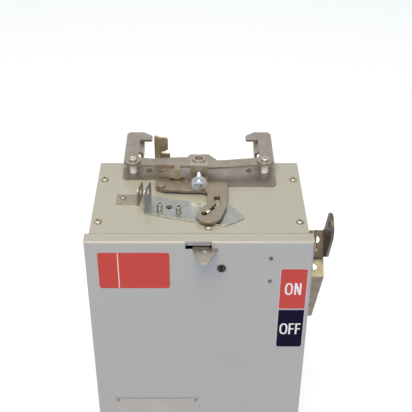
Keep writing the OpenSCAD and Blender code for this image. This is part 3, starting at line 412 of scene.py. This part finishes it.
def galvanised_sheet(name, light, dark, crystal_mm=3, ripple_mm=4, ripple=0.004):
    """Hot dip galvanised steel: ragged crystals, each one a little lighter or darker."""
    material, tree, place = blank_material(name)
    warp = add(tree, "TexNoise", {"Vector": place, "Scale": mm_per_m / ripple_mm, "Detail": 2.0})
    # A vector mix takes its share in input 0 and its two vectors in inputs 4 and 5.
    bent = add(tree, "Mix", {0: ripple, 4: place, 5: warp.outputs[1]}, data_type="VECTOR")
    crystal = add(tree, "TexVoronoi", {"Vector": bent.outputs[1], "Scale": mm_per_m / crystal_mm})
    tone = add(tree, "SeparateColor", {"Color": crystal.outputs["Color"]})
    tint = add(tree, "Mix", {0: tone.outputs[0], 6: linear(dark), 7: linear(light)}, data_type="RGBA")
    polish = add(tree, "MapRange", {"Value": tone.outputs[1], "To Min": 0.3, "To Max": 0.45})
    surface = add(tree, "BsdfPrincipled", {
        "Base Color": tint.outputs[2], "Metallic": 1.0, "Roughness": polish.outputs[0]})
    add(tree, "OutputMaterial", {"Surface": surface.outputs[0]})
    return material


# Galvanised sheet gives a faint patchwork of crystals, some of them catching the light.
spangle = galvanised_sheet("galvanised_steel", "#ACAEAD", "#A0A3A2")

# Yellow passivation gives the zinc a straw tint and a satin gloss.
warm_zinc = metal("yellow_passivated_zinc", "#A09586", "#93887B",
                  patch=18, roughness=0.4, spread=0.06, scratch=0.12)
# The rounded edges of the plate and the bracket are bright zinc as a painted highlight.
dress("interlock_plate", spangle, edge=0.35, edge_highlight=bright_zinc)
dress("seal_bracket", dull_zinc, edge=0.3, edge_highlight=bright_zinc)
dress("interlock_posts", bright_zinc, edge=0.3)
dress("interlock_guide_pin", bright_zinc, edge=0.15)
dress("interlock_pivot_pin", warm_zinc, edge=0.2)
dress("interlock_lever", warm_zinc, edge=0.35)

# ---- Rear contacts ----
# The ground stab is a darkened bronze strip; the three phase stabs are copper leaves on a black block.
# They push into the busway when the jaws draw the box up against it.

# Darkened bronze gives a dusky tan metal; a brighter yellow on its rounded edges is a painted highlight.
bronze = metal("darkened_bronze", "#BCAF9A", "#A0927D",
               patch=9, roughness=0.42, spread=0.06, scratch=0.12)
bronze_edge_highlight = metal("bronze_edge_highlight", "#CDB486", "#B8A074", patch=6, roughness=0.32)

# Bare copper gives a salmon pink with darker drifts of oxide and drawn lines.
copper = metal("bare_copper", "#C98E6C", "#A9694A", patch=8, roughness=0.34, spread=0.06, scratch=0.2)

# Black thermoset gives a dull, dusty black with a soft sheen.
black_thermoset = moulded("black_thermoset", "#2A2725", "#1C1A19", grain=1.2, roughness=0.48)
dress("ground_stab", bronze, edge=0.3, edge_highlight=bronze_edge_highlight)
dress("stab_insulator", black_thermoset, edge=0.8)
dress("phase_stabs", copper, edge=0.3)

# ---- Switch ----
# A three pole rotary switch: copper blades on a steel shaft turn between copper forks.
# Pressed fibre barriers part the poles, and a clear sheet covers the live upper side.

# Turned brass gives a warm yellow with a fairly clear glint.
brass = metal("plain_brass", "#C9A968", "#A98A4E", patch=8, roughness=0.34)

# Vulcanised fibre gives a matt cream like thick card.
fibre = moulded("vulcanised_fibre", "#D2C8A8", "#BFB48F", grain=1.5, roughness=0.7, bump=0.4)
dress("switch_base", black_thermoset, edge=1.0)
for node in ("contact_jaws", "line_straps", "load_straps", "switch_blades"):
    dress(node, copper, edge=0.25)
dress("rotor_hubs", black_thermoset, edge=0.5)
dress("phase_barriers", fibre, edge=0.3)
dress("shaft_bushing", brass, edge=0.3)
for node in ("shaft_bracket", "switch_shaft"):
    dress(node, spangle, edge=0.3)

# Polycarbonate sheet gives a clear view with rubbed patches that blur it a little.
haze_mm = 6
clear_plastic, tree, place = blank_material("clear_polycarbonate")
haze = add(tree, "TexNoise", {"Vector": place, "Scale": mm_per_m / haze_mm, "Detail": 2.0})
wear = add(tree, "MapRange", {"Value": haze.outputs[0], "To Min": 0.02, "To Max": 0.12})
clear = add(tree, "BsdfPrincipled", {
    "Base Color": linear("#EEF3F4"), "Roughness": wear.outputs[0], "IOR": 1.58,
    "Transmission Weight": 1.0})
add(tree, "OutputMaterial", {"Surface": clear.outputs[0]})
dress("line_shield", clear_plastic, edge=0.3)

# ---- Fuses and terminals ----
# Three cartridge fuses of wound fibre tube with plated caps sit in brass spring clips.
# The load lugs and the ground bar are tinned aluminium with steel binding screws.

# Brown thermoset gives a dark chocolate with a soft sheen.
brown_thermoset = moulded("brown_thermoset", "#4A3526", "#38281D", grain=1.2, roughness=0.5)

# Tin plate gives a soft white metal, smooth but never mirror bright.
tinned = metal("tin_plate", "#C9C9C5", "#A9AAA7", patch=6, roughness=0.36)

# Wound and varnished fibre gives a tan brown with a coarse skin.
fuse_tube = moulded("wound_fibre_tube", "#94613A", "#7C4E2D", grain=1.5, roughness=0.55, bump=0.5)
dress("fuse_base", brown_thermoset, edge=0.8)
dress("fuse_clips", brass, edge=0.2)
fuses = dress("fuses", fuse_tube, edge=0.6).data
fuses.materials.append(tinned)
fuse_low, fuse_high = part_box("fuses")
cap_l = 0.0221
for face in fuses.polygons:
    if face.center.z < fuse_low.z + cap_l or face.center.z > fuse_high.z - cap_l:
        face.material_index = 1
dress("load_lugs", tinned, edge=0.5)
dress("ground_bar", tinned, edge=0.4)
dress("terminal_screws", black_oxide, edge=0.15)

# ---- Hinges ----
# Two welded butt hinges at the foot of the opening, each with a plated pin.
# Knuckles and leaves carry the same coat as the sheet they are welded to.

for node in ("hinge_knuckles", "cover_hinge_leaves"):
    dress(node, grey_coat, edge=0.25)
dress("hinge_pins", bright_zinc, edge=0.2)

# ---- Cover ----
# A shallow pan of 1.5 mm steel, its four edges folded back round the enclosure's front.
# A slotted black screw holds it shut, and a plated catch tab slides in a notch at the top.

dress("front_cover", grey_coat, edge=0.4)
for node in ("cover_angle", "catch_guide"):
    dress(node, spangle, edge=0.2)

# Plain zinc gives the catch a light, slightly creamy grey with a satin gloss.
catch_zinc = metal("plain_zinc_plate", "#B0ABA0", "#A29D91",
                   patch=5, roughness=0.36, spread=0.05, scratch=0.1)
dress("cover_catch", catch_zinc, edge=0.3)

# Darkened steel gives the two upper rivets a dark grey, close to the coat in gloss.
darkened_steel = metal("darkened_steel", "#6F7170", "#575958", patch=3, roughness=0.42)
rivets = dress("cover_rivets", darkened_steel, edge=0.15).data

# Aluminium gives the nameplate's rivets a neutral mid grey, a little softer than steel.
rivets.materials.append(metal("aluminium_rivet", "#918F8E", "#807E7D", patch=3, roughness=0.4))
plate_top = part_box("nameplate")[1].z
for face in rivets.polygons:
    face.material_index = int(face.center.z < plate_top)

# Painted shade darkens the cover screw's slot, between its head's face and its floor.
lock = dress("cover_screw", black_oxide, edge=0.25).data
lock.materials.append(recess_shade)
lock_low, lock_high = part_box("cover_screw")
slot_half, slot_top, slot_floor = 0.0009, 0.0002, 0.0016
for face in lock.polygons:
    aside = abs((face.center - (lock_low + lock_high) / 2).x)
    if aside < slot_half and slot_top < face.center.y - lock_low.y < slot_floor:
        face.material_index = 1

# ---- Labels and nameplate ----
# Die cut vinyl labels with a thin pale border, lettered ON and OFF beside the handle.
# The nameplate is a blank plate of satin aluminium, held by four small rivets.


def vinyl(name, light, dark, specular=0.35):
    """Printed vinyl: smooth with a soft gloss and a slight unevenness in the ink."""
    ink_mm, grain_mm = 25, 1.5
    material, tree, place = blank_material(name)
    ink = add(tree, "TexNoise", {"Vector": place, "Scale": mm_per_m / ink_mm, "Detail": 2.0})
    tint = add(tree, "Mix", {0: ink.outputs[0], 6: linear(dark), 7: linear(light)}, data_type="RGBA")
    fine = add(tree, "TexNoise", {"Vector": place, "Scale": mm_per_m / grain_mm})
    skin = add(tree, "Bump", {"Height": fine.outputs[0], "Strength": 0.1, "Distance": 0.00003})
    surface = add(tree, "BsdfPrincipled", {
        "Base Color": tint.outputs[2], "Roughness": 0.42, "Specular IOR Level": specular,
        "Normal": skin.outputs[0]})
    add(tree, "OutputMaterial", {"Surface": surface.outputs[0]})
    return material


# Vinyl gives flat, even colour with a faint gloss; the dark ink stays deep, with almost none.
red_vinyl = vinyl("red_vinyl", "#D5453E", "#CC3F39")
dark_vinyl = vinyl("blue_black_vinyl", "#120630", "#0B0322", specular=0.06)
white_ink = vinyl("white_ink", "#FFF9F5", "#FCF5F1")
pale_vinyl = vinyl("pale_grey_vinyl", "#CFCFD2", "#C6C6CA")
for node in ("hazard_label", "on_label"):
    dress(node, red_vinyl, edge=0.06)
dress("off_label", dark_vinyl, edge=0.06)

# Satin aluminium gives a quiet neutral grey that hardly changes across the plate.
satin_aluminium = metal("satin_aluminium", "#A3A0A3", "#9D9A9D",
                        patch=30, roughness=0.42, spread=0.02, scratch=0.05)
dress("nameplate", satin_aluminium, edge=0.15)


def raised(name, outlines, front, back, finish, slot):
    """Flat outlines in X and Z, as thin solids on the cover between two depths in Y."""
    work = bmesh.new()
    for outline in outlines:
        near = [work.verts.new((x, front, z)) for x, z in outline]
        far = [work.verts.new((x, back, z)) for x, z in outline]
        work.faces.new(near)
        work.faces.new(far[::-1])
        for k in range(len(outline)):
            after = (k + 1) % len(outline)
            work.faces.new((near[after], near[k], far[k], far[after]))
    bmesh.ops.recalc_face_normals(work, faces=work.faces)
    show(name, mesh_of(work, name), finish, "cover", slot)


def rounded(x0, x1, z0, z1, r, corner_steps=8):
    """Points round a rectangle, its corners round where r isn't zero."""
    points = []
    steps = corner_steps if r > 0 else 0
    for x, z, start in ((x1, z0, -90), (x1, z1, 0), (x0, z1, 90), (x0, z0, 180)):
        cx, cz = x + (r if x == x0 else -r), z + (r if z == z0 else -r)
        for k in range(steps + 1):
            a = radians(start + 90 * k / max(steps, 1))
            points.append((cx + r * cos(a), cz + r * sin(a)))
    return points


border, label_corner, backing_t, ink_t = 0.0009, 0.0025, 0.00012, 0.00005
on_low, on_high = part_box("on_label")
off_low, off_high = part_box("off_label")
cover_face, label_face = on_high.y, on_low.y
raised("switch_label_backing", [rounded(
    off_low.x - border, on_high.x + border, off_low.z - border, on_high.z + border,
    label_corner + border)], cover_face - backing_t, cover_face, pale_vinyl, "label_red")

# A thin line parts the hazard label into a narrow field and a wide one.
line_share, line_half, line_end = 0.28, 0.0004, 0.0002
hazard_low, hazard_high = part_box("hazard_label")
line_x = hazard_low.x + line_share * (hazard_high.x - hazard_low.x)
raised("hazard_label_line", [rounded(
    line_x - line_half, line_x + line_half, hazard_low.z + line_end, hazard_high.z - line_end, 0)],
    label_face - ink_t, label_face + ink_t, white_ink, "label_red")


def letter(kind, x, z, w, h, t):
    """Outlines of a condensed capital with strokes t wide, from its lower left corner."""
    if kind == "N":
        low, high, left, right, nick = z + 0.41 * h, z + 0.59 * h, x + t, x + w - t, 0.15 * t
        return [[(x, z), (left, z), (left, high), (right - nick, z), (x + w, z),
                 (x + w, z + h), (right, z + h), (right, low), (left + nick, z + h), (x, z + h)]]
    if kind == "F":
        bar, waist, short = t * 0.9, z + h * 0.44, x + w * 0.92
        return [[(x, z), (x + t, z), (x + t, z + h), (x, z + h)],
                [(x + t, z + h - bar), (x + w, z + h - bar), (x + w, z + h), (x + t, z + h)],
                [(x + t, waist), (short, waist), (short, waist + bar), (x + t, waist + bar)]]
    ring, steps, squareness, thinning = [], 40, 2.6, 0.95
    for k in range(steps):
        spans = []
        for step in (k, k + 1):
            a = 2 * pi * step / steps
            for inset in (0.0, t):
                rx, rz = w / 2 - inset, h / 2 - inset * thinning
                bend = (abs(cos(a)) ** squareness + abs(sin(a)) ** squareness) ** (-1 / squareness)
                spans.append((x + w / 2 + rx * bend * cos(a), z + h / 2 + rz * bend * sin(a)))
        ring.append([spans[0], spans[2], spans[3], spans[1]])
    return ring


def lettering(name, word, low, high, height, widths, gap, drop, slot, stroke=0.0018):
    """A word across the middle of a label, lowered by drop."""
    span = sum(widths) + gap * (len(word) - 1)
    x = (low.x + high.x) / 2 - span / 2
    z = (low.z + high.z) / 2 - height / 2 - drop
    outlines = []
    for kind, width in zip(word, widths):
        outlines += letter(kind, x, z, width, height, stroke)
        x += width + gap
    raised(name, outlines, label_face - ink_t, label_face + ink_t, white_ink, slot)


lettering("on_lettering", "ON", on_low, on_high, height=0.0150, widths=[0.0077, 0.0067],
          gap=0.0015, drop=-0.0004, slot="label_red")
lettering("off_lettering", "OFF", off_low, off_high, height=0.0146, widths=[0.0080, 0.0054, 0.0054],
          gap=0.0011, drop=0.0002, slot="label_dark")

# ---- Handle ----
# Two folded steel plates riveted together on the end of the switch shaft.
# The lever is pale above its fold and browner below it, as painted light and shade; the grip is darkened as
# painted shade.

# Painted light and shade: the zinc is paler above the fold and browner on the strip below it.
lever_lit_zinc = metal("lever_zinc_painted_light", "#8F8C7C", "#7F7B6C",
                   patch=16, roughness=0.42, spread=0.06, scratch=0.12)
lever_shaded_zinc = metal("lever_zinc_painted_shade", "#85776E", "#73665E",
                   patch=14, roughness=0.36, spread=0.05, scratch=0.12)
lever = dress("handle_lever", lever_shaded_zinc, edge=0.35).data
lever.materials.append(lever_lit_zinc)
fold_z = 0.329
# Faces above the fold take the painted light, those below keep the painted shade.
for face in lever.polygons:
    face.material_index = int(face.center.z > fold_z)

# Painted shade gives the grip a darker, greyer zinc, with a painted yellow highlight along its rounded edges.
grip_shaded_zinc = metal("grip_zinc_painted_shade", "#69635F", "#595350",
                  patch=14, roughness=0.36, spread=0.05, scratch=0.12)
dress("handle_grip", grip_shaded_zinc, edge=0.4, edge_highlight=warm_zinc)
dress("handle_rivets", warm_zinc, edge=0.3)

# ---- Studio ----
# A white sweep with a warm softbox overhead, a little to the front, and a cooler one in front.
# The camera looks down on the top and the front, with the foot of the box below its view.


def seen_directly(tree):
    """1 for rays that show the background itself: to the camera, in a reflection or through glass."""
    ray = add(tree, "LightPath")
    either = add(tree, "Math", {0: ray.outputs["Is Camera Ray"], 1: ray.outputs["Is Glossy Ray"]},
                 operation="MAXIMUM")
    return add(tree, "Math", {0: either.outputs[0], 1: ray.outputs["Is Transmission Ray"]},
               operation="MAXIMUM")


white = (1.0, 1.0, 1.0, 1.0)
fill_colour, fill_strength = (0.75, 0.87, 1.0, 1.0), 0.385
world = bpy.data.worlds.new("studio")
world.use_nodes = True
world.node_tree.nodes.clear()
sky = world.node_tree
fill = add(sky, "Background", {"Color": fill_colour, "Strength": fill_strength})
backdrop = add(sky, "Background", {"Color": white, "Strength": 1.0})
choice = add(sky, "MixShader", {
    0: seen_directly(sky).outputs[0], 1: fill.outputs[0], 2: backdrop.outputs[0]})
add(sky, "OutputWorld", {"Surface": choice.outputs[0]})
bpy.context.scene.world = world

# White paper gives a matt floor that stays white and still takes the shadow.
paper_mm, paper_lift = 40, 0.55
sweep, tree, place = blank_material("white_sweep")
paper = add(tree, "TexNoise", {"Vector": place, "Scale": mm_per_m / paper_mm, "Detail": 2.0})
tone = add(tree, "Mix", {
    0: paper.outputs[0], 6: linear("#F4F4F3"), 7: linear("#EFEFEE")}, data_type="RGBA")
matte = add(tree, "BsdfDiffuse", {"Color": tone.outputs[2]})
lift = add(tree, "Math", {0: seen_directly(tree).outputs[0], 1: paper_lift}, operation="MULTIPLY")
glow = add(tree, "Emission", {"Color": white, "Strength": lift.outputs[0]})
both = add(tree, "AddShader", {0: matte.outputs[0], 1: glow.outputs[0]})
add(tree, "OutputMaterial", {"Surface": both.outputs[0]})
floor_half = 6.0
floor_mesh = bpy.data.meshes.new("floor")
floor_mesh.from_pydata([(-floor_half, -floor_half, 0), (floor_half, -floor_half, 0),
                        (floor_half, floor_half, 0), (-floor_half, floor_half, 0)], [], [(0, 1, 2, 3)])
floor_mesh.materials.append(sweep)
floor = stand("floor", floor_mesh)


def softbox(name, place, target, size, power, colour):
    """A square area lamp aimed at a point."""
    lamp = bpy.data.lights.new(name, "AREA")
    lamp.size, lamp.energy, lamp.color = size, power, colour
    holder = stand(name, lamp)
    holder.location = place
    holder.rotation_mode = "QUATERNION"
    holder.rotation_quaternion = (Vector(place) - Vector(target)).to_track_quat("Z", "Y")
    return holder


# The front lamp cools the shaded front, and is kept out of the reflections in the plated pieces.
middle = (0.0, 0.0, 0.25)
softbox("overhead_softbox", (-0.15, -0.65, 1.75), middle,
        size=0.9, power=20.5, colour=(1.0, 0.865, 0.53))
front = softbox("front_softbox", (0.5, -1.9, 0.55), middle,
                size=1.4, power=8.5, colour=(0.13, 0.31, 1.0))
front.visible_glossy = False

look_down = 35.26
camera = bpy.data.cameras.new("camera")
camera.sensor_width = 36.0
camera.lens = 74.7
camera.shift_x = 0.017
camera_holder = stand("camera", camera)
camera_holder.location = (0.0, -0.6992, 0.8661)
camera_holder.rotation_euler = (radians(90 - look_down), 0.0, 0.0)
bpy.context.scene.camera = camera_holder
bpy.context.scene.view_settings.view_transform = "Standard"
